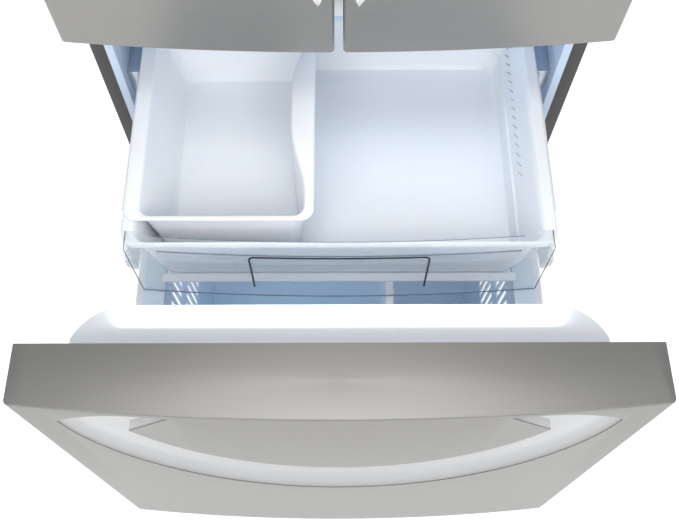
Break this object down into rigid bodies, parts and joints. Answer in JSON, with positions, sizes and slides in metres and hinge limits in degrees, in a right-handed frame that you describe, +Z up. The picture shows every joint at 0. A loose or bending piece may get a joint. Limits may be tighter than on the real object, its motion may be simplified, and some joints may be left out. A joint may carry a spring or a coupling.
{
  "type": "french door refrigerator",
  "caption": "Refrigerator with french doors above a bottom freezer drawer on telescoping rails, with an inner sliding drawer, crispers, shelves, door bins and scooped handle pockets.",
  "frame": {"origin": "floor level under the middle of the rest pose's footprint, doors shut and freezer drawer out", "axes": "+Z up, -Y towards the doors, +X to the right seen from the front"},
  "size_m": [0.756, 1.3106, 1.74],
  "materials": {
    "brushed_stainless": "satin",
    "case_paint": "satin",
    "zinc_steel": "satin",
    "rail_steel": "satin",
    "white_plastic": "satin",
    "clear_plastic": "gloss",
    "tempered_glass": "gloss",
    "grey_seal": "matte",
    "pocket_plastic": "satin",
    "dark_plastic": "satin",
    "black_enamel": "gloss",
    "coil_aluminium": "satin",
    "foot_plastic": "matte",
    "foam_insulation": "matte"
  },
  "bodies": {
    "root": {"cabinet_wrapper": "case_paint", "rear_panel": "zinc_steel", "fridge_liner": "white_plastic", "freezer_liner": "white_plastic", "cabinet_insulation": "foam_insulation", "center_rail": "white_plastic", "base_frame": "zinc_steel", "kick_grille": "dark_plastic", "machine_cover": "zinc_steel", "compressor": "black_enamel", "condenser_unit": "coil_aluminium", "door_hinges": "zinc_steel", "hinge_covers": "dark_plastic", "control_panel": "dark_plastic", "light_lens": "clear_plastic", "air_duct": "white_plastic", "shelf_frames": "white_plastic", "shelf_glasses": "tempered_glass", "crisper_cover": "white_plastic", "evaporator_cover": "white_plastic", "evaporator": "coil_aluminium", "ice_maker": "white_plastic", "cabinet_rails": "rail_steel"},
    "left_door": {"left_door_skin": "brushed_stainless", "left_door_liner": "white_plastic", "left_door_foam": "foam_insulation", "left_door_gasket": "grey_seal", "left_door_bins": "clear_plastic", "left_door_pocket": "pocket_plastic"},
    "right_door": {"right_door_skin": "brushed_stainless", "right_door_liner": "white_plastic", "right_door_foam": "foam_insulation", "right_door_gasket": "grey_seal", "right_door_bins": "clear_plastic", "right_door_pocket": "pocket_plastic"},
    "center_flap": {"center_flap": "dark_plastic"},
    "freezer_drawer": {"drawer_skin": "brushed_stainless", "drawer_pocket": "pocket_plastic", "drawer_foam": "foam_insulation", "drawer_liner": "white_plastic", "drawer_gasket": "grey_seal", "drawer_runners": "rail_steel", "lower_basket": "white_plastic"},
    "rail_slides": {"intermediate_rails": "rail_steel"},
    "upper_drawer": {"upper_tub": "white_plastic", "upper_front": "clear_plastic", "upper_handle_plate": "dark_plastic", "ice_bin": "white_plastic"},
    "basket_divider": {"basket_divider": "white_plastic"},
    "left_crisper": {"left_crisper": "clear_plastic"},
    "right_crisper": {"right_crisper": "clear_plastic"},
    "left_humidity_slider": {"left_humidity_slider": "white_plastic"},
    "right_humidity_slider": {"right_humidity_slider": "white_plastic"},
    "ice_maker_arm": {"ice_maker_arm": "white_plastic"},
    "condenser_fan": {"condenser_fan_blade": "dark_plastic"},
    "evaporator_fan": {"evaporator_fan_blade": "dark_plastic"},
    "front_rollers": {"front_rollers": "dark_plastic"},
    "rear_rollers": {"rear_rollers": "dark_plastic"},
    "left_leg": {"left_leg": "foot_plastic"},
    "right_leg": {"right_leg": "foot_plastic"}
  },
  "joints": [
    {"name": "left_door_hinge", "type": "hinge", "parent": "root", "child": "left_door", "pos_m": [-0.362, -0.08475, 1.22], "axis": [0, 0, -1], "range_deg": [0, 120]},
    {"name": "right_door_hinge", "type": "hinge", "parent": "root", "child": "right_door", "pos_m": [0.362, -0.08475, 1.22], "axis": [0, 0, 1], "range_deg": [0, 120]},
    {"name": "center_flap_hinge", "type": "hinge", "parent": "left_door", "child": "center_flap", "pos_m": [-0.031, -0.03475, 1.2], "axis": [0, 0, -1], "range_deg": [0, 90]},
    {"name": "freezer_drawer_slide", "type": "slide", "parent": "root", "child": "freezer_drawer", "axis": [0, -1, 0], "range_m": [-0.511, 0]},
    {"name": "rail_slide", "type": "slide", "parent": "root", "child": "rail_slides", "axis": [0, -1, 0], "range_m": [-0.2555, 0]},
    {"name": "upper_drawer_slide", "type": "slide", "parent": "root", "child": "upper_drawer", "axis": [0, -1, 0], "range_m": [-0.3781, 0]},
    {"name": "basket_divider_slide", "type": "slide", "parent": "freezer_drawer", "child": "basket_divider", "axis": [1, 0, 0], "range_m": [-0.3, 0.15]},
    {"name": "left_crisper_slide", "type": "slide", "parent": "root", "child": "left_crisper", "axis": [0, -1, 0], "range_m": [0, 0.2281]},
    {"name": "right_crisper_slide", "type": "slide", "parent": "root", "child": "right_crisper", "axis": [0, -1, 0], "range_m": [0, 0.2281]},
    {"name": "left_humidity_slide", "type": "slide", "parent": "root", "child": "left_humidity_slider", "axis": [1, 0, 0], "range_m": [-0.015, 0.015]},
    {"name": "right_humidity_slide", "type": "slide", "parent": "root", "child": "right_humidity_slider", "axis": [1, 0, 0], "range_m": [-0.015, 0.015]},
    {"name": "ice_arm_hinge", "type": "hinge", "parent": "root", "child": "ice_maker_arm", "pos_m": [-0.082, 0.21525, 0.648], "axis": [-1, 0, 0], "range_deg": [0, 15]},
    {"name": "condenser_fan_spin", "type": "hinge", "parent": "root", "child": "condenser_fan", "pos_m": [-0.07, 0.541, 0.124], "axis": [1, 0, 0], "continuous": true},
    {"name": "evaporator_fan_spin", "type": "hinge", "parent": "root", "child": "evaporator_fan", "pos_m": [0, 0.51725, 0.59], "axis": [0, 1, 0], "continuous": true},
    {"name": "front_roller_spin", "type": "hinge", "parent": "root", "child": "front_rollers", "pos_m": [0, 0.06525, 0.016], "axis": [1, 0, 0], "continuous": true},
    {"name": "rear_roller_spin", "type": "hinge", "parent": "root", "child": "rear_rollers", "pos_m": [0, 0.59525, 0.014], "axis": [1, 0, 0], "continuous": true},
    {"name": "left_leg_turn", "type": "hinge", "parent": "root", "child": "left_leg", "pos_m": [-0.33, -0.00475, 0.02], "axis": [0, 0, 1], "continuous": true},
    {"name": "right_leg_turn", "type": "hinge", "parent": "root", "child": "right_leg", "pos_m": [0.33, -0.00475, 0.02], "axis": [0, 0, 1], "continuous": true}
  ],
  "couplings": [
    {"joint": "rail_slide", "follows": "freezer_drawer_slide", "ratio": 0.5},
    {"joint": "upper_drawer_slide", "follows": "freezer_drawer_slide", "ratio": 0.73973},
    {"joint": "left_crisper_slide", "follows": "left_door_hinge", "m_per_rad": 0.10886},
    {"joint": "right_crisper_slide", "follows": "right_door_hinge", "m_per_rad": 0.10886}
  ]
}
